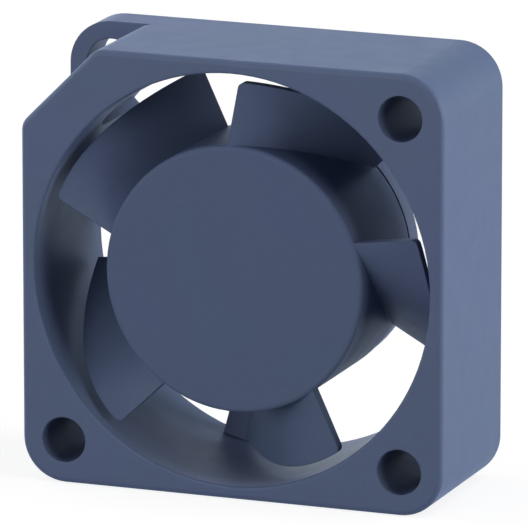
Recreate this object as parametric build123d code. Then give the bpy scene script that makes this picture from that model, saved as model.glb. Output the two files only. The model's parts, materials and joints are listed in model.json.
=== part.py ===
from build123d import *
import math
import os

# Axial cooling fan, 25 x 25 x 10 mm, with a brushless motor in its hub.
# X points right and Z up as seen from the intake side, and Y runs with the airflow.
# The origin is on the rotor axis, in the outlet face. Lengths are in millimetres.
# A depth is measured from the intake face towards the outlet. An angle starts at +X and
# grows counter-clockwise as seen from the intake side.

# Housing
frame_side = 25.0
frame_depth = 10.0
corner_radius = 2.5
edge_radius = 0.3
duct_wall = 0.75
intake_radius = 0.12
hole_inset = 2.5
screw_hole_diameter = 2.6
flange_hole_diameter = 3.0
chamfer_leg = 4.5
chamfer_end_radius = 1.0
rear_flange_thickness = 2.6

# Struts and motor base
strut_count = 4
strut_first_angle = 75.0
strut_width = 1.6
strut_thickness = 1.2
base_rim_step = 0.1
base_thickness = 1.3
label_recess = 0.25
label_edge_width = 0.6
label_thickness = 0.12
label_gap = 0.1

# Way out for the leads
lead_strut_number = 1
lead_strut_width = 2.6
lead_channel_width = 1.6
lead_channel_depth = 0.6
lead_pocket_angle = 135.0
lead_pocket_width = 2.9
lead_pocket_depth = 0.55
lead_pocket_front = 3.0
lead_slot_width = 1.6

# Impeller
hub_radius = 7.6
hub_recess = 0.4
hub_edge_radius = 0.25
cup_face = 0.6
cup_wall = 0.7
rotor_gap = 0.4
blade_count = 5
blade_tip_gap = 0.55
blade_front = 0.5
blade_rear_inset = 0.3
blade_tip_angle = 160.3
blade_root_angle = 165.2
blade_rear_angle = 115.0
blade_root_power = 1.5
blade_tip_power = 2.0
blade_lead_run_out = 0.12
blade_rear_run_out = 0.15
blade_rear_margin = 4.0
blade_root_thickness = 0.8
blade_tip_thickness = 0.55
blade_corner_radius = 0.35

# Yoke, magnet and boss
yoke_sheet = 0.35
yoke_corner_radius = 0.3
yoke_overlap = 0.3
magnet_thickness = 1.05
magnet_front_gap = 0.85
magnet_chamfer = 0.12
magnet_board_gap = 0.5
boss_neck_radius = 1.2
boss_neck_depth = 0.3
boss_flange_radius = 2.2
boss_flange_thickness = 0.7

# Shaft and its retaining parts
shaft_diameter = 1.5
shaft_chamfer = 0.12
shaft_tail = 0.35
clip_thickness = 0.2
clip_width = 0.42
clip_mouth = 0.9
clip_groove_depth = 0.2
washer_thickness = 0.15
washer_width = 0.42
fit_clearance = 0.02

# Ball bearings
bearing_outer_diameter = 4.0
bearing_width = 2.0
ring_wall = 0.3
ball_diameter = 0.8
ball_count = 7
race_clearance = 0.01
cage_width = 1.2
cage_wall = 0.34
cage_clearance = 0.03
shield_thickness = 0.1
shield_inset = 0.05
shield_seat = 0.1
shield_lip_gap = 0.08

# Bearing tube and preload spring
tube_wall = 0.5
tube_lip = 0.2
tube_seat_depth = 0.3
tube_shoulder = 0.25
rear_bearing_inset = 0.5
spring_length = 1.2
spring_turns = 3.0
spring_wire = 0.18
spring_bore_gap = 0.11

# Stator
air_gap = 0.3
pole_count = 4
pole_first_angle = 0.0
lamination_count = 5
lamination_thickness = 0.4
core_ring_width = 0.9
pole_width = 1.3
shoe_thickness = 0.5
shoe_half_angle = 33.0
insulator_thickness = 0.3
insulator_side = 0.15
insulator_lip = 0.25
coil_thickness = 0.55
insulator_lip_over_coil = 0.1
coil_end_gap = 0.05
coil_corner_radius = 0.5
pin_count = 3
pin_first_angle = 45.0
pin_diameter = 0.4
pin_magnet_gap = 0.4
pin_arm_width = 0.9
pin_arm_end = 0.2
pin_tail = 0.45
solder_radius = 0.5
solder_height = 0.3
solder_tip_width = 0.1

# Circuit board
board_thickness = 0.6
board_standoff = 1.0
board_edge_gap = 0.35
ledge_solder_gap = 0.2
socket_wall = 0.6
board_hole_gap = 0.1
board_pin_gap = 0.05
chip_size = (1.4, 2.4, 0.7)
chip_angle = 315.0
chip_magnet_gap = 0.35
chip_lead_pitch = 0.8
chip_lead_size = (0.35, 0.35, 0.12)
capacitor_size = (0.5, 1.0, 0.5)
capacitor_angle = 62.0
diode_size = (1.2, 1.7, 0.7)
diode_angle = 20.0
resistor_size = (0.5, 1.0, 0.35)
resistor_angle = 338.0

# Radii and widths that follow
hole_pitch = frame_side - 2 * hole_inset
duct_radius = frame_side / 2 - duct_wall
blade_tip_radius = duct_radius - blade_tip_gap
yoke_radius = hub_radius - cup_wall
magnet_radius = yoke_radius - yoke_sheet
magnet_bore = magnet_radius - magnet_thickness
stator_radius = magnet_bore - air_gap
shaft_radius = shaft_diameter / 2
bearing_radius = bearing_outer_diameter / 2
ball_radius = ball_diameter / 2
pitch_radius = (shaft_radius + bearing_radius) / 2
tube_radius = bearing_radius + tube_wall
base_radius = hub_radius - base_rim_step
label_recess_radius = base_radius - label_edge_width
board_radius = magnet_radius - board_edge_gap
socket_radius = tube_radius + socket_wall
pin_radius_position = magnet_bore - pin_magnet_gap - pin_diameter / 2
ledge_radius = pin_radius_position - solder_radius - ledge_solder_gap
chip_radius_position = magnet_bore - chip_magnet_gap - chip_size[0] / 2
rear_part_radius_position = (ledge_radius + board_radius) / 2
core_ring_radius = tube_radius + core_ring_width
screw_hole_radius = screw_hole_diameter / 2
flange_hole_radius = flange_hole_diameter / 2
neck_end_radius = stator_radius - shoe_thickness
insulator_lip_height = coil_thickness + insulator_lip_over_coil

# Angles that follow
lead_strut_angle = strut_first_angle + lead_strut_number * 360 / strut_count
blade_middle_angle = (blade_root_angle + blade_rear_angle) / 2

# Depths that follow, from the intake face
flange_front = frame_depth - rear_flange_thickness
base_front = frame_depth - base_thickness
strut_front = frame_depth - strut_thickness
label_floor = frame_depth - label_recess
cup_inside = hub_recess + cup_face
cup_end = base_front - rotor_gap
blade_end = cup_end - blade_rear_inset
yoke_inside = cup_inside + yoke_sheet
boss_front = cup_inside - boss_neck_depth
boss_end = yoke_inside + boss_flange_thickness
front_bearing_start = boss_end + spring_length
front_bearing_end = front_bearing_start + bearing_width
tube_front = front_bearing_start - tube_lip
tube_end = base_front + tube_seat_depth
rear_bearing_end = tube_end - rear_bearing_inset
rear_bearing_start = rear_bearing_end - bearing_width
washer_end = rear_bearing_end + washer_thickness
clip_end = washer_end + clip_thickness
shaft_end = clip_end + shaft_tail
board_rear = base_front - board_standoff
board_front = board_rear - board_thickness
magnet_end = board_front - magnet_board_gap
magnet_start = yoke_inside + magnet_front_gap
yoke_end = magnet_end + yoke_overlap
core_length = lamination_count * lamination_thickness
core_middle = (magnet_start + magnet_end) / 2
core_front = core_middle - core_length / 2
core_rear = core_middle + core_length / 2

# Room beyond a face, so that a cut leaves no skin
overcut = 1.0


def at_depth(depth):
    """Y coordinate of a depth behind the intake face."""
    return depth - frame_depth


def slab(outline, near, far):
    """Prism between two depths, from an outline drawn in X and Z."""
    back = Plane(origin=(0, at_depth(far), 0), x_dir=(1, 0, 0), z_dir=(0, -1, 0))
    return extrude(back * outline, amount=far - near)


def disc(radius, near, far):
    return slab(Circle(radius), near, far)


def tube(outer, inner, near, far):
    return slab(Circle(outer) - Circle(inner), near, far)


def lathe(*corners):
    """Solid of revolution about the rotor axis, from (radius, depth) corners."""
    points = [(radius, at_depth(depth)) for radius, depth in corners]
    return revolve(make_face(Polyline(*points, close=True)), Axis.Y)


def turned(shape, angle):
    """Shape turned about the rotor axis, counter-clockwise as seen from the intake side."""
    return Rot(0, -angle, 0) * shape


def around(shape, count, first_angle=0.0):
    """Copies of a shape, evenly spaced about the rotor axis."""
    return [turned(shape, first_angle + number * 360 / count) for number in range(count)]


def block(size, radius_position, near):
    """Box on the +X side: size is (radial, tangential, deep), and near is its front depth."""
    radial, tangential, deep = size
    return Pos(radius_position, at_depth(near + deep / 2), 0) * Box(radial, deep, tangential)


def bar(width, inner, outer, near, far):
    """Straight bar along +X from one radius to another, between two depths."""
    return block((outer - inner, width, far - near), (inner + outer) / 2, near)


def torus(major, minor, depth):
    return Pos(0, at_depth(depth), 0) * Rot(90, 0, 0) * Torus(major, minor)


# Housing

def front_outline():
    """Square with three round corners and one chamfered corner, top left."""
    square = Rectangle(frame_side, frame_side)
    corners = square.vertices().sort_by(lambda corner: corner.Y - corner.X)
    square = fillet(corners[:3], corner_radius)
    corner = square.vertices().sort_by(lambda corner: corner.Y - corner.X)[-1]
    square = chamfer(corner, chamfer_leg)
    ends = square.vertices().sort_by(lambda corner: corner.Y - corner.X)[-2:]
    return fillet(ends, chamfer_end_radius)


def screw_places():
    half = hole_pitch / 2
    return [(side_x * half, side_z * half) for side_x in (-1, 1) for side_z in (-1, 1)]


def frame_shell():
    """Outside of the housing, with the duct, the intake lip and the screw holes."""
    shell = slab(front_outline(), 0, flange_front)
    flange = slab(RectangleRounded(frame_side, frame_side, corner_radius), flange_front, frame_depth)
    shell += flange
    faces = shell.faces().sort_by(Axis.Y)
    shell = fillet(faces[0].edges() + faces[-1].edges(), edge_radius)
    shell -= disc(duct_radius, -overcut, frame_depth + overcut)
    lip = shell.faces().sort_by(Axis.Y)[0].inner_wires()[0].edges()
    shell = fillet(lip, intake_radius)
    for x, z in screw_places():
        shell -= slab(Pos(x, z) * Circle(flange_hole_radius), flange_front, frame_depth + overcut)
        if z < 0 or x > 0:
            shell -= slab(Pos(x, z) * Circle(screw_hole_radius), -overcut, frame_depth)
    return shell


def lead_exit():
    """Pocket in the duct wall and slot through it, for the leads."""
    half = lead_pocket_width / 2
    outer = duct_radius + lead_pocket_depth
    pocket = bar(lead_pocket_width, duct_radius - overcut, outer, lead_pocket_front + half,
                 frame_depth + overcut)
    arch = Pos(duct_radius, at_depth(lead_pocket_front + half), 0) * Rot(0, 90, 0)
    pocket += arch * Cylinder(half, 2 * lead_pocket_depth)
    pocket = pocket & disc(outer, 0, frame_depth + overcut)
    slot = bar(lead_slot_width, duct_radius, frame_side, lead_pocket_front + half, flange_front)
    return turned(pocket + slot, lead_pocket_angle)


def motor_base():
    """Disc behind the rotor, with the ledge for the board and the socket for the bearing tube."""
    base = disc(base_radius, base_front, frame_depth)
    base += disc(ledge_radius, board_rear, base_front)
    base += disc(socket_radius, board_front, board_rear)
    base -= disc(label_recess_radius, label_floor, frame_depth + overcut)
    return base


def struts():
    """Plain struts, and the wide one that carries the leads."""
    reach = duct_radius + duct_wall / 2
    parts = []
    for number in range(strut_count):
        for_leads = number == lead_strut_number
        width = lead_strut_width if for_leads else strut_width
        near = base_front if for_leads else strut_front
        strut = bar(width, label_recess_radius, reach, near, frame_depth)
        parts.append(turned(strut, strut_first_angle + number * 360 / strut_count))
    return parts


def make_frame():
    frame = frame_shell() - lead_exit()
    frame += motor_base()
    for strut in struts():
        frame += strut
    channel = bar(lead_channel_width, ledge_radius, duct_radius, base_front - overcut,
                  base_front + lead_channel_depth)
    frame -= turned(channel, lead_strut_angle)
    frame -= disc(tube_radius, 0, tube_end)
    frame -= disc(bearing_radius, tube_end - overcut, frame_depth + overcut)
    return frame


def make_label():
    return disc(label_recess_radius - label_gap, label_floor, label_floor + label_thickness)


# Impeller

def blade_depth(share, power):
    """Depth of a blade's front side, from 0 at its leading edge to 1 at its trailing edge."""
    return blade_front + (blade_end - blade_front) * max(share, 0) ** power


def blade_section(distance, leading_angle, power, thickness):
    """Section of a blade across its middle radius, a distance away from the rotor axis."""
    shares = (-blade_lead_run_out, 0.0, 0.25, 0.5, 0.75, 1.0, 1.0 + blade_rear_run_out)
    front, rear = [], []
    for share in shares:
        angle = leading_angle + (blade_rear_angle - leading_angle) * share - blade_middle_angle
        across = distance * math.tan(math.radians(angle))
        front.append((across, -blade_depth(share, power)))
        rear.append((across, -blade_depth(share, power) - thickness))
    edges = [
        Spline(*front),
        Line(front[-1], rear[-1]),
        Spline(*rear[::-1]),
        Line(rear[0], front[0]),
    ]
    place = Plane(origin=(distance, -frame_depth, 0), x_dir=(0, 0, 1), z_dir=(1, 0, 0))
    return place * make_face(edges)


def blade_point(radius, angle):
    """Point at an angle from the middle of a blade's arc."""
    turn = math.radians(angle - blade_middle_angle)
    return (radius * math.cos(turn), radius * math.sin(turn))


def blade_outline():
    """What the intake side sees of a blade: a sector with a slanted leading edge."""
    root = hub_radius - cup_wall / 2
    tip = blade_tip_radius
    rear_angle = blade_rear_angle - blade_rear_margin
    lead_root = blade_point(root, blade_root_angle)
    lead_tip = blade_point(tip, blade_tip_angle)
    rear_root = blade_point(root, rear_angle)
    rear_tip = blade_point(tip, rear_angle)
    outline = make_face([
        Line(lead_root, lead_tip),
        ThreePointArc(lead_tip, (tip, 0), rear_tip),
        Line(rear_tip, rear_root),
        ThreePointArc(rear_root, (root, 0), lead_root),
    ])
    tip_corner = outline.vertices().sort_by_distance((*lead_tip, 0))[0]
    return fillet(tip_corner, blade_corner_radius)


def make_blade():
    """One blade, with the middle of its arc on the +X side."""
    reach = math.cos(math.radians(blade_middle_angle - blade_rear_angle + blade_rear_margin))
    inner = blade_section((hub_radius - cup_wall) * reach, blade_root_angle, blade_root_power,
                          blade_root_thickness)
    outer = blade_section(blade_tip_radius + blade_tip_gap, blade_tip_angle, blade_tip_power,
                          blade_tip_thickness)
    sheet = loft([inner, outer], ruled=True)
    return sheet & slab(blade_outline(), 0, blade_end)


def make_impeller():
    cup = disc(hub_radius, hub_recess, cup_end)
    front_edge = cup.faces().sort_by(Axis.Y)[0].edges()
    cup = fillet(front_edge, hub_edge_radius)
    cup -= disc(yoke_radius, cup_inside, cup_end + overcut)
    cup -= disc(boss_neck_radius, boss_front, cup_inside)
    for blade in around(make_blade(), blade_count, blade_middle_angle):
        cup += blade
    return cup


# Rotor inside the impeller

def make_yoke():
    shell = disc(yoke_radius, cup_inside, yoke_end)
    shell = fillet(shell.faces().sort_by(Axis.Y)[0].edges(), yoke_corner_radius)
    shell -= disc(magnet_radius, yoke_inside, yoke_end + overcut)
    return shell - disc(boss_neck_radius, cup_inside - overcut, yoke_inside + overcut)


def make_magnet():
    magnet = tube(magnet_radius, magnet_bore, magnet_start, magnet_end)
    ends = magnet.edges().filter_by(GeomType.CIRCLE)
    return chamfer(ends, magnet_chamfer)


def make_boss():
    boss = disc(boss_neck_radius, boss_front, yoke_inside)
    boss += disc(boss_flange_radius, yoke_inside, boss_end)
    return boss - disc(shaft_radius, boss_front - overcut, boss_end + overcut)


def make_shaft():
    groove = shaft_radius - clip_groove_depth
    return lathe(
        (0, boss_front),
        (shaft_radius - shaft_chamfer, boss_front),
        (shaft_radius, boss_front + shaft_chamfer),
        (shaft_radius, washer_end),
        (groove, washer_end),
        (groove, clip_end),
        (shaft_radius, clip_end),
        (shaft_radius, shaft_end - shaft_chamfer),
        (shaft_radius - shaft_chamfer, shaft_end),
        (0, shaft_end),
    )


def make_washer():
    inner = shaft_radius + fit_clearance
    return tube(inner + washer_width, inner, rear_bearing_end, washer_end)


def make_clip():
    """Open ring that snaps into the shaft's groove."""
    inner = shaft_radius - clip_groove_depth + fit_clearance
    clip = tube(inner + clip_width, inner, washer_end, clip_end)
    mouth = bar(clip_mouth, 0, inner + 2 * clip_width, washer_end - overcut, clip_end + overcut)
    return clip - mouth


def make_spring():
    """Compression spring that presses on the front bearing's inner ring."""
    radius = shaft_radius + spring_bore_gap + spring_wire / 2
    height = spring_length - spring_wire - 2 * fit_clearance
    start = at_depth(boss_end + spring_wire / 2 + fit_clearance)
    path = Helix(height / spring_turns, height, radius, center=(0, start, 0), direction=(0, 1, 0))
    section = Plane(origin=path @ 0, z_dir=path % 0) * Circle(spring_wire / 2)
    return sweep(section, path)


# Ball bearings

def make_outer_ring(start):
    end = start + bearing_width
    inner = bearing_radius - ring_wall
    ring = tube(bearing_radius, inner, start, end)
    seat = shield_inset + shield_thickness
    ring -= disc(inner + shield_seat, start - overcut, start + seat)
    ring -= disc(inner + shield_seat, end - seat, end + overcut)
    return ring - torus(pitch_radius, ball_radius + race_clearance, (start + end) / 2)


def make_inner_ring(start):
    end = start + bearing_width
    ring = tube(shaft_radius + ring_wall, shaft_radius, start, end)
    return ring - torus(pitch_radius, ball_radius + race_clearance, (start + end) / 2)


def ball_places(start):
    middle = at_depth(start + bearing_width / 2)
    return [
        turned(Pos(pitch_radius, middle, 0), number * 360 / ball_count) for number in range(ball_count)
    ]


def make_balls(start):
    return [place * Sphere(ball_radius) for place in ball_places(start)]


def make_cage(start):
    middle = start + bearing_width / 2
    cage = tube(pitch_radius + cage_wall / 2, pitch_radius - cage_wall / 2, middle - cage_width / 2,
                middle + cage_width / 2)
    pocket = Cylinder(ball_radius + cage_clearance, bearing_radius)
    for place in ball_places(start):
        cage -= place * Rot(0, 90, 0) * pocket
    return cage


def make_shields(start):
    """Pair of thin discs, held in the outer ring and clear of the inner one."""
    outer = bearing_radius - ring_wall + shield_seat
    inner = shaft_radius + ring_wall + shield_lip_gap
    end = start + bearing_width
    front = tube(outer, inner, start + shield_inset, start + shield_inset + shield_thickness)
    rear = tube(outer, inner, end - shield_inset - shield_thickness, end - shield_inset)
    return [front, rear]


def make_tube():
    """Tube that holds both outer rings against a shoulder between them."""
    body = disc(tube_radius, tube_front, tube_end)
    body -= disc(bearing_radius, tube_front - overcut, front_bearing_end)
    body -= disc(bearing_radius - tube_shoulder, front_bearing_end - overcut, rear_bearing_start + overcut)
    return body - disc(bearing_radius, rear_bearing_start, tube_end + overcut)


# Stator

def sector(radius, half_angle):
    """Flat wedge about +X, longer than the radius."""
    reach = 2 * radius
    side = reach * math.tan(math.radians(half_angle))
    return make_face(Polyline((0, 0), (reach, side), (reach, -side), close=True))


def core_outline():
    reach = (neck_end_radius + stator_radius) / 2
    outline = Circle(core_ring_radius)
    shoe = (Circle(stator_radius) - Circle(neck_end_radius)) & sector(stator_radius, shoe_half_angle)
    neck = Pos(reach / 2, 0) * Rectangle(reach, pole_width)
    for number in range(pole_count):
        turn = Rot(0, 0, pole_first_angle + number * 360 / pole_count)
        outline += turn * (neck + shoe)
    return outline - Circle(tube_radius)


def make_core():
    outline = core_outline()
    return [
        slab(outline, core_front + number * lamination_thickness,
             core_front + (number + 1) * lamination_thickness)
        for number in range(lamination_count)
    ]


def insulator_half(near, far, lip_near, lip_far):
    """Half of the winding former: a ring, a sleeve for each pole and a lip at each end."""
    body = tube(core_ring_radius, tube_radius, near, far)
    sleeve = bar(pole_width + 2 * insulator_side, core_ring_radius - insulator_lip, neck_end_radius,
                 min(near, core_middle), max(far, core_middle))
    lip_width = pole_width + 2 * insulator_side + 2 * coil_thickness
    lip = bar(lip_width, neck_end_radius - insulator_lip, neck_end_radius, lip_near, lip_far)
    for part in around(sleeve + lip, pole_count, pole_first_angle):
        body += part
    body += tube(core_ring_radius, core_ring_radius - insulator_lip, lip_near, lip_far)
    return body - slab(core_outline(), core_front, core_rear)


def pin_angles():
    return [pin_first_angle + number * 360 / pole_count for number in range(pin_count)]


def make_front_insulator():
    near = core_front - insulator_thickness
    return insulator_half(near, core_front, near - insulator_lip_height, core_front)


def make_rear_insulator():
    """Rear half of the former, with an arm for each winding pin."""
    far = core_rear + insulator_thickness
    body = insulator_half(core_rear, far, core_rear, far + insulator_lip_height)
    reach = pin_radius_position + pin_diameter / 2 + pin_arm_end
    arm = bar(pin_arm_width, core_ring_radius - insulator_lip, reach, core_rear, far)
    pin = Pos(pin_radius_position, 0) * Circle(pin_diameter / 2)
    arm -= slab(pin, core_rear - overcut, far + overcut)
    for angle in pin_angles():
        body += turned(arm, angle)
    return body


def make_coil(number):
    """Winding of one pole."""
    inner = core_ring_radius + coil_end_gap
    outer = neck_end_radius - insulator_lip - coil_end_gap
    width = pole_width + 2 * insulator_side
    depth = core_length + 2 * insulator_thickness
    middle = Pos((inner + outer) / 2, at_depth(core_middle), 0)
    winding = middle * Box(outer - inner, depth + 2 * coil_thickness, width + 2 * coil_thickness)
    winding = fillet(winding.edges().filter_by(Axis.X), coil_corner_radius)
    winding -= middle * Box(2 * (outer - inner), depth, width)
    return turned(winding, pole_first_angle + number * 360 / pole_count)


def make_pins():
    pin = slab(Pos(pin_radius_position, 0) * Circle(pin_diameter / 2), core_rear, board_rear + pin_tail)
    return [turned(pin, angle) for angle in pin_angles()]


def make_solder():
    """Cone of solder about each pin, on the back of the board."""
    place = Pos(pin_radius_position, at_depth(board_rear), 0) * Rot(-90, 0, 0)
    cone = place * Cone(solder_radius, pin_diameter / 2 + solder_tip_width, solder_height,
                        align=(Align.CENTER, Align.CENTER, Align.MIN))
    pin = slab(Pos(pin_radius_position, 0) * Circle(pin_diameter / 2), board_rear - overcut, frame_depth)
    return [turned(cone - pin, angle) for angle in pin_angles()]


# Circuit board

def make_board():
    board = tube(board_radius, socket_radius + board_hole_gap, board_front, board_rear)
    hole = slab(Pos(pin_radius_position, 0) * Circle(pin_diameter / 2 + board_pin_gap),
                board_front - overcut, board_rear + overcut)
    for angle in pin_angles():
        board -= turned(hole, angle)
    return board


def board_part(size, angle, radius_position, front_side):
    near = board_front - size[2] if front_side else board_rear
    return turned(block(size, radius_position, near), angle)


def make_chip():
    return board_part(chip_size, chip_angle, chip_radius_position, True)


def make_chip_leads():
    """Three short leads along each long side of the chip."""
    radial = chip_size[0] / 2 + chip_lead_size[0] / 2
    leads = []
    for side in (-1, 1):
        for number in (-1, 0, 1):
            lead = block(chip_lead_size, chip_radius_position + side * radial,
                         board_front - chip_lead_size[2])
            lead = Pos(0, 0, number * chip_lead_pitch) * lead
            leads.append(turned(lead, chip_angle))
    return leads


def make_capacitor():
    return board_part(capacitor_size, capacitor_angle, rear_part_radius_position, False)


def make_diode():
    return board_part(diode_size, diode_angle, rear_part_radius_position, False)


def make_resistor():
    return board_part(resistor_size, resistor_angle, rear_part_radius_position, False)


def bearing_nodes(name, start):
    return {
        f"{name}_bearing_outer_ring": make_outer_ring(start),
        f"{name}_bearing_inner_ring": make_inner_ring(start),
        f"{name}_bearing_balls": make_balls(start),
        f"{name}_bearing_cage": make_cage(start),
        f"{name}_bearing_shields": make_shields(start),
    }


def all_nodes():
    nodes = {
        "frame": make_frame(),
        "impeller": make_impeller(),
        "rotor_yoke": make_yoke(),
        "ring_magnet": make_magnet(),
        "rotor_boss": make_boss(),
        "shaft": make_shaft(),
        "shaft_washer": make_washer(),
        "retaining_clip": make_clip(),
        "preload_spring": make_spring(),
        "bearing_tube": make_tube(),
        "stator_core": make_core(),
        "front_insulator": make_front_insulator(),
        "rear_insulator": make_rear_insulator(),
        "winding_pins": make_pins(),
        "circuit_board": make_board(),
        "driver_chip": make_chip(),
        "chip_leads": make_chip_leads(),
        "bypass_capacitor": make_capacitor(),
        "protection_diode": make_diode(),
        "limiting_resistor": make_resistor(),
        "solder_joints": make_solder(),
        "rear_label": make_label(),
    }
    nodes.update(bearing_nodes("front", front_bearing_start))
    nodes.update(bearing_nodes("rear", rear_bearing_start))
    for number in range(pole_count):
        nodes[f"coil_{number + 1}"] = make_coil(number)
    return nodes


def main():
    os.makedirs("parts", exist_ok=True)
    for name, shape in all_nodes().items():
        solids = shape if isinstance(shape, list) else [shape]
        body = Compound(children=[solid for item in solids for solid in item.solids()])
        body.label = name
        export_step(body, f"parts/{name}.step")


main()
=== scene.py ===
"""A small axial cooling fan on a plain white floor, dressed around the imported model."""
import json
import math

import bpy
from mathutils import Matrix, Vector


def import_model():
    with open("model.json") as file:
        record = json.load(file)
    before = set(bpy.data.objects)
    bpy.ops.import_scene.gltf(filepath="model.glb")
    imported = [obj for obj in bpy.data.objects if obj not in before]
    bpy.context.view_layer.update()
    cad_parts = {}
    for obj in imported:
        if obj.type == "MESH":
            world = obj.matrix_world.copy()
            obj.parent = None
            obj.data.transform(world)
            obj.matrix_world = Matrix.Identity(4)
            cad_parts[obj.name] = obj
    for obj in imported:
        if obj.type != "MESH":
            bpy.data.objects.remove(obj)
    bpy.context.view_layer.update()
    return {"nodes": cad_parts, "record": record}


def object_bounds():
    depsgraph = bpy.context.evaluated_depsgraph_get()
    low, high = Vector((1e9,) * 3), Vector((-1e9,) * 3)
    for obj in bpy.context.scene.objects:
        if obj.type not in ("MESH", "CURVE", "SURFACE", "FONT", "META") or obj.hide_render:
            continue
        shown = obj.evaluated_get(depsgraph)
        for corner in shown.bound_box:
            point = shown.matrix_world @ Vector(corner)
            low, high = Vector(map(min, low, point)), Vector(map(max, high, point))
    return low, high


MM = 0.001
MICRON = 0.000001

# Camera: where it aims, and from where; angles are in degrees
CAMERA_TARGET = Vector((2.02, -10.0, 1.17)) * MM
CAMERA_DISTANCE = 480.0 * MM
CAMERA_AZIMUTH = 21.0
CAMERA_ELEVATION = 13.6
CAMERA_ROLL = -0.02
CAMERA_LENS = 592.2
SENSOR_WIDTH = 36.0
CLIP_START = 10.0 * MM
CLIP_END = 20000.0 * MM

# Lamps: name, azimuth, elevation and light level; azimuth 0 is in front of the intake
LAMPS = (
    ("right", 80.0, 9.0, 0.50),
    ("right_rear", 112.0, 9.0, 0.42),
    ("right_back", 125.0, 9.0, 0.08),
    ("right_top", 90.0, 60.0, 0.23),
    ("front", -15.0, 10.0, 0.33),
    ("front_left", -45.0, 9.0, 0.13),
    ("left", -85.0, 9.0, 0.30),
    ("left_top", -90.0, 60.0, 0.19),
    ("left_rear", -135.0, 14.0, 0.12),
    ("rear", -162.0, 9.0, 0.04),
)
LAMP_DISTANCE = 400.0 * MM
LAMP_SIDE = 200.0 * MM

# Surroundings
WORLD_LEVEL = 0.03
WORLD_GLOW = 1.0
FLOOR_REACH = 3000.0 * MM
FLOOR_TONE = 0.3
FLOOR_GLOW = 0.82
SQUARE = ((-1, -1), (1, -1), (1, 1), (-1, 1))

# What the eye and what reflections see of the surroundings
WHITE = (1.0, 1.0, 1.0, 1.0)
COOL_WHITE = (0.77, 0.95, 1.27, 1.0)

# Colours, in linear light
FRAME_COLOUR = (0.080, 0.109, 0.199)
# The impeller's plastic, lighter than the frame's by a painted sheen that stands in for the reflection
# its lower specular level gives up
IMPELLER_COLOUR_AND_PAINTED_SHEEN = (0.095, 0.126, 0.224)
LABEL_COLOUR = (0.56, 0.57, 0.59)

# Moulded plastic
FRAME_SPECULAR = 0.32
IMPELLER_SPECULAR = 0.12
PLASTIC_ROUGHNESS = 0.5
PLASTIC_ROUGHNESS_DRIFT = 0.025
PLASTIC_GLOSS_PATCH = 1.4 * MM
PLASTIC_GREEN_CAST = (0.97, 1.03, 0.93)
PLASTIC_VIOLET_CAST = (1.03, 0.97, 1.00)
PLASTIC_CAST_PATCH = 9.0 * MM
PLASTIC_SPECK_SIZE = 0.35 * MM
PLASTIC_SPECK_SHARE = 0.14
PLASTIC_SPECK_LEVEL = 1.25
PLASTIC_EDGE = 0.11 * MM
PLASTIC_EDGE_SAMPLES = 6
PLASTIC_GRAIN_SIZE = 0.05 * MM
PLASTIC_GRAIN_DEPTH = 4 * MICRON
PLASTIC_WAVE_SIZE = 5.0 * MM
PLASTIC_WAVE_DEPTH = 5 * MICRON

# Metal, and the pitch of what is wound or stacked
METAL_POLISH_PATCH = 0.8 * MM
METAL_DARKEST = 0.9
METAL_BRIGHTEST = 1.05
METAL_GRAIN_SIZE = 0.05 * MM
METAL_GRAIN_DEPTH = 1.5 * MICRON
WIRE_PITCH = 0.16 * MM
LAMINATION_PITCH = 0.35 * MM
RIDGE_DEPTH_SHARE = 0.25
RIDGE_STRENGTH = 0.8

# Resin, ceramic and laminate
DULL_GRAIN_SIZE = 0.06 * MM
DULL_GRAIN_DEPTH = 5 * MICRON
DULL_GLOSS_PATCH = 0.9 * MM
DULL_ROUGHNESS_DRIFT = 0.05

# Label film
LABEL_WAVE_SIZE = 2.2 * MM
LABEL_WAVE_DEPTH = 6 * MICRON
LABEL_DARKEST = 0.97
LABEL_BRIGHTEST = 1.03
LABEL_METALLIC = 0.35
LABEL_GLOSS_PATCH = 0.7 * MM
LABEL_SMOOTHEST = 0.36
LABEL_ROUGHEST = 0.42

# The middle range of Blender's noise, and its wave texture's scale for one wave in each metre
NOISE_LOW = 0.3
NOISE_HIGH = 0.7
ONE_WAVE_SCALE = math.tau / 20

# Sockets of Blender's mix node when it mixes colours
MIX_FACTOR = 0
MIX_FIRST = 6
MIX_SECOND = 7
MIX_RESULT = 2


# Materials


def scaled(colour, factor):
    return tuple(channel * factor for channel in colour)


def tinted(colour, cast):
    return tuple(channel * share for channel, share in zip(colour, cast))


def new_node(tree, kind, **values):
    node = tree.nodes.new(kind)
    for name, value in values.items():
        setattr(node, name, value)
    return node


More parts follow.
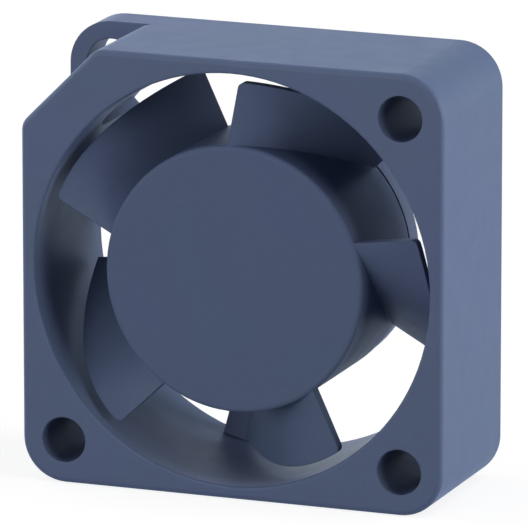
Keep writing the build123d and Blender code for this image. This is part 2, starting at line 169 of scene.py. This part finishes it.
class Nodes:
    """Builds one material's node tree."""

    def __init__(self, name):
        self.slot = name
        self.material = bpy.data.materials.new(name)
        self.material.use_nodes = True
        self.tree = self.material.node_tree
        self.shader = self.tree.nodes["Principled BSDF"]

    def add(self, kind, **values):
        return new_node(self.tree, kind, **values)

    def join(self, source, target):
        self.tree.links.new(source, target)

    def place(self):
        """Position on the object, in metres."""
        return self.add("ShaderNodeTexCoord").outputs["Object"]

    def noise(self, size, detail=2.0):
        """Noise whose features are about the given size, in metres."""
        node = self.add("ShaderNodeTexNoise")
        node.inputs["Scale"].default_value = 1.0 / size
        node.inputs["Detail"].default_value = detail
        self.join(self.place(), node.inputs["Vector"])
        return node.outputs["Fac"]

    def ridges(self, pitch, **shape):
        """Even ridges, one in each pitch of metres."""
        node = self.add("ShaderNodeTexWave", **shape)
        node.inputs["Scale"].default_value = ONE_WAVE_SCALE / pitch
        self.join(self.place(), node.inputs["Vector"])
        return node.outputs["Fac"]

    def spread(self, value, low=0.0, high=1.0):
        """Maps the middle range of a noise to low..high."""
        node = self.add("ShaderNodeMapRange")
        node.inputs["From Min"].default_value = NOISE_LOW
        node.inputs["From Max"].default_value = NOISE_HIGH
        node.inputs["To Min"].default_value = low
        node.inputs["To Max"].default_value = high
        self.join(value, node.inputs["Value"])
        return node.outputs["Result"]

    def mix(self, factor, first, second):
        """Colour between two colours, each a value or an output."""
        node = self.add("ShaderNodeMix", data_type="RGBA")
        self.join(factor, node.inputs[MIX_FACTOR])
        for number, colour in ((MIX_FIRST, first), (MIX_SECOND, second)):
            if isinstance(colour, tuple):
                node.inputs[number].default_value = (*colour, 1.0)
            else:
                self.join(colour, node.inputs[number])
        return node.outputs[MIX_RESULT]

    def shades(self, noise, colour, darkest, brightest):
        """The colour, darker and brighter with a noise; both are shares of its level."""
        return self.mix(self.spread(noise), scaled(colour, darkest), scaled(colour, brightest))

    def bump(self, height, depth, strength=0.5, normal=None):
        """Normal from a height of 0 to 1 that is depth metres deep."""
        node = self.add("ShaderNodeBump")
        node.inputs["Strength"].default_value = strength
        node.inputs["Distance"].default_value = depth
        self.join(height, node.inputs["Height"])
        if normal:
            self.join(normal, node.inputs["Normal"])
        return node.outputs["Normal"]

    def soft_edges(self, radius):
        """Normal that rounds sharp edges by the radius."""
        node = self.add("ShaderNodeBevel", samples=PLASTIC_EDGE_SAMPLES)
        node.inputs["Radius"].default_value = radius
        return node.outputs["Normal"]

    def finish(self, colour, roughness, normal):
        """Joins the three outputs to the shader; gives the slot's name and its material."""
        self.join(colour, self.shader.inputs["Base Color"])
        self.join(roughness, self.shader.inputs["Roughness"])
        self.join(normal, self.shader.inputs["Normal"])
        return self.slot, self.material


def moulded_plastic(name, colour, specular):
    """Satin moulded plastic: spark-eroded grain, soft edges and a slight drift of its colour."""
    m = Nodes(name)
    m.shader.inputs["Specular IOR Level"].default_value = specular
    drift = m.spread(m.noise(PLASTIC_CAST_PATCH, detail=3.0))
    flow = m.mix(drift, tinted(colour, PLASTIC_GREEN_CAST), tinted(colour, PLASTIC_VIOLET_CAST))
    specks = m.spread(m.noise(PLASTIC_SPECK_SIZE), high=PLASTIC_SPECK_SHARE)
    tone = m.mix(specks, flow, scaled(colour, PLASTIC_SPECK_LEVEL))
    smoothest = PLASTIC_ROUGHNESS - PLASTIC_ROUGHNESS_DRIFT
    roughest = PLASTIC_ROUGHNESS + PLASTIC_ROUGHNESS_DRIFT
    rough = m.spread(m.noise(PLASTIC_GLOSS_PATCH), smoothest, roughest)
    fine = m.noise(PLASTIC_GRAIN_SIZE, detail=1.0)
    grain = m.bump(fine, PLASTIC_GRAIN_DEPTH, normal=m.soft_edges(PLASTIC_EDGE))
    wavy = m.bump(m.noise(PLASTIC_WAVE_SIZE, detail=1.0), PLASTIC_WAVE_DEPTH, normal=grain)
    return m.finish(tone, rough, wavy)


def metal(name, colour, rough, spread=0.06, ridge=None, **shape):
    """Machined, drawn, wound or stacked metal with fine uneven polish."""
    m = Nodes(name)
    m.shader.inputs["Metallic"].default_value = 1.0
    polish = m.noise(METAL_POLISH_PATCH, detail=3.0)
    base = m.shades(polish, colour, METAL_DARKEST, METAL_BRIGHTEST)
    normal = m.bump(m.noise(METAL_GRAIN_SIZE), METAL_GRAIN_DEPTH)
    if ridge:
        depth = ridge * RIDGE_DEPTH_SHARE
        normal = m.bump(m.ridges(ridge, **shape), depth, strength=RIDGE_STRENGTH, normal=normal)
    return m.finish(base, m.spread(polish, rough - spread, rough + spread), normal)


def dull(name, colour, rough, contrast=0.1):
    """Resin, ceramic or laminate with a fine grain."""
    m = Nodes(name)
    grain = m.noise(DULL_GRAIN_SIZE, detail=3.0)
    base = m.shades(grain, colour, 1 - contrast, 1 + contrast)
    patches = m.noise(DULL_GLOSS_PATCH)
    gloss = m.spread(patches, rough - DULL_ROUGHNESS_DRIFT, rough + DULL_ROUGHNESS_DRIFT)
    return m.finish(base, gloss, m.bump(grain, DULL_GRAIN_DEPTH))


def label_film():
    """Blank silver-grey film, slightly uneven where it lies on its adhesive."""
    m = Nodes("label_film")
    m.shader.inputs["Metallic"].default_value = LABEL_METALLIC
    wave = m.noise(LABEL_WAVE_SIZE)
    base = m.shades(wave, LABEL_COLOUR, LABEL_DARKEST, LABEL_BRIGHTEST)
    gloss = m.spread(m.noise(LABEL_GLOSS_PATCH), LABEL_SMOOTHEST, LABEL_ROUGHEST)
    return m.finish(base, gloss, m.bump(wave, LABEL_WAVE_DEPTH))


def laminations():
    colour = (0.42, 0.43, 0.44)
    return metal("electrical_steel", colour, 0.42, ridge=LAMINATION_PITCH, bands_direction="Y")


def winding():
    colour = (0.62, 0.26, 0.12)
    turns = {"wave_type": "RINGS", "rings_direction": "Y"}
    return metal("copper_winding", colour, 0.24, ridge=WIRE_PITCH, **turns)


def make_materials():
    """One material for each slot of the record; the single number is its roughness."""
    return dict([
        moulded_plastic("housing_plastic", FRAME_COLOUR, FRAME_SPECULAR),
        moulded_plastic("impeller_plastic", IMPELLER_COLOUR_AND_PAINTED_SHEEN, IMPELLER_SPECULAR),
        metal("yoke_steel", (0.56, 0.57, 0.58), 0.34),
        metal("brass", (0.72, 0.53, 0.26), 0.28),
        metal("shaft_steel", (0.72, 0.73, 0.75), 0.14, spread=0.03),
        metal("spring_steel", (0.50, 0.50, 0.51), 0.26),
        metal("bearing_steel", (0.68, 0.69, 0.71), 0.12, spread=0.03),
        metal("cage_brass", (0.74, 0.57, 0.30), 0.3),
        metal("shield_steel", (0.60, 0.61, 0.62), 0.24),
        metal("tinned_metal", (0.74, 0.74, 0.73), 0.3),
        laminations(),
        winding(),
        dull("magnet_ferrite", (0.045, 0.045, 0.048), 0.62),
        dull("nylon", (0.78, 0.77, 0.72), 0.5, contrast=0.03),
        dull("insulator_plastic", (0.80, 0.79, 0.74), 0.5, contrast=0.03),
        dull("board_laminate", (0.04, 0.17, 0.08), 0.32, contrast=0.15),
        dull("chip_resin", (0.020, 0.020, 0.022), 0.5),
        dull("capacitor_ceramic", (0.52, 0.40, 0.26), 0.42),
        dull("resistor_ceramic", (0.035, 0.035, 0.038), 0.35),
        label_film(),
    ])


def dress(frame, materials):
    """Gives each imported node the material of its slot."""
    for row in frame["record"]["subparts"]:
        mesh = frame["nodes"][row["node"]].data
        mesh.materials.clear()
        mesh.materials.append(materials[row["material_slot"]])


# Floor, lights and camera


def light_by_ray(tree, emitter, reflected, plain, white):
    """Plain strength for light; white strength to the eye and, in a cool white, in reflections."""
    path = new_node(tree, "ShaderNodeLightPath")
    sight = path.outputs["Is Camera Ray"]
    for name in reflected:
        either = new_node(tree, "ShaderNodeMath", operation="MAXIMUM")
        tree.links.new(sight, either.inputs[0])
        tree.links.new(path.outputs[name], either.inputs[1])
        sight = either.outputs[0]
    level = new_node(tree, "ShaderNodeMapRange")
    level.inputs["To Min"].default_value = plain
    level.inputs["To Max"].default_value = white
    tree.links.new(sight, level.inputs["Value"])
    tree.links.new(level.outputs["Result"], emitter.inputs["Strength"])
    tone = new_node(tree, "ShaderNodeMix", data_type="RGBA")
    tone.inputs[MIX_FIRST].default_value = WHITE
    tone.inputs[MIX_SECOND].default_value = COOL_WHITE
    tree.links.new(path.outputs["Is Glossy Ray"], tone.inputs[MIX_FACTOR])
    tree.links.new(tone.outputs[MIX_RESULT], emitter.inputs["Color"])


def floor_material():
    """Grey to the light, so that it keeps a faint shadow, and white to the eye."""
    m = Nodes("floor_white")
    m.tree.nodes.remove(m.shader)
    diffuse = m.add("ShaderNodeBsdfDiffuse")
    diffuse.inputs["Color"].default_value = (FLOOR_TONE, FLOOR_TONE, FLOOR_TONE, 1.0)
    glow = m.add("ShaderNodeEmission")
    light_by_ray(m.tree, glow, ("Is Glossy Ray",), 0.0, FLOOR_GLOW)
    both = m.add("ShaderNodeAddShader")
    m.join(diffuse.outputs[0], both.inputs[0])
    m.join(glow.outputs[0], both.inputs[1])
    m.join(both.outputs[0], m.tree.nodes["Material Output"].inputs["Surface"])
    return m.material


def make_floor():
    """A wide square floor at the level of the fan's lowest point."""
    lowest_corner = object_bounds()[0]
    level = lowest_corner[2]
    corners = [(x * FLOOR_REACH, y * FLOOR_REACH, level) for x, y in SQUARE]
    mesh = bpy.data.meshes.new("floor")
    mesh.from_pydata(corners, [], [(0, 1, 2, 3)])
    mesh.materials.append(floor_material())
    floor = bpy.data.objects.new("floor", mesh)
    bpy.context.scene.collection.objects.link(floor)


def make_world():
    """Hardly any light of its own, but white all round to the eye and in reflections."""
    world = bpy.data.worlds.new("studio")
    bpy.context.scene.world = world
    world.use_nodes = True
    background = world.node_tree.nodes["Background"]
    reflected = ("Is Glossy Ray", "Is Transmission Ray")
    light_by_ray(world.node_tree, background, reflected, WORLD_LEVEL, WORLD_GLOW)


def from_angles(azimuth, elevation, distance):
    """Point at a distance from the origin: azimuth 0 is in front of the intake."""
    across = math.radians(azimuth)
    up = math.radians(elevation)
    level_share = math.cos(up)
    direction = Vector((math.sin(across) * level_share, -math.cos(across) * level_share, math.sin(up)))
    return direction * distance


def aimed(place, target, roll=0.0):
    """Placement that looks at the target, rolled about its own line of sight."""
    turn = (target - place).to_track_quat("-Z", "Y").to_matrix().to_4x4()
    return Matrix.Translation(place) @ turn @ Matrix.Rotation(math.radians(roll), 4, "Z")


def make_lamps():
    """Soft square lamps round the fan; at level 1 a surface that faces one shows its own colour."""
    for name, azimuth, elevation, level in LAMPS:
        light = bpy.data.lights.new(name, "AREA")
        light.size = LAMP_SIDE
        light.energy = level * (math.pi * LAMP_DISTANCE) ** 2
        lamp = bpy.data.objects.new(name, light)
        bpy.context.scene.collection.objects.link(lamp)
        lamp.matrix_world = aimed(from_angles(azimuth, elevation, LAMP_DISTANCE), Vector())


def make_camera():
    camera = bpy.data.cameras.new("camera")
    camera.sensor_width = SENSOR_WIDTH
    camera.lens = CAMERA_LENS
    camera.clip_start = CLIP_START
    camera.clip_end = CLIP_END
    view = bpy.data.objects.new("camera", camera)
    bpy.context.scene.collection.objects.link(view)
    place = CAMERA_TARGET + from_angles(CAMERA_AZIMUTH, CAMERA_ELEVATION, CAMERA_DISTANCE)
    view.matrix_world = aimed(place, CAMERA_TARGET, CAMERA_ROLL)
    bpy.context.scene.camera = view


def main():
    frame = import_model()
    bpy.context.scene.view_settings.view_transform = "Standard"
    make_camera()
    make_world()
    make_floor()
    make_lamps()
    dress(frame, make_materials())


main()
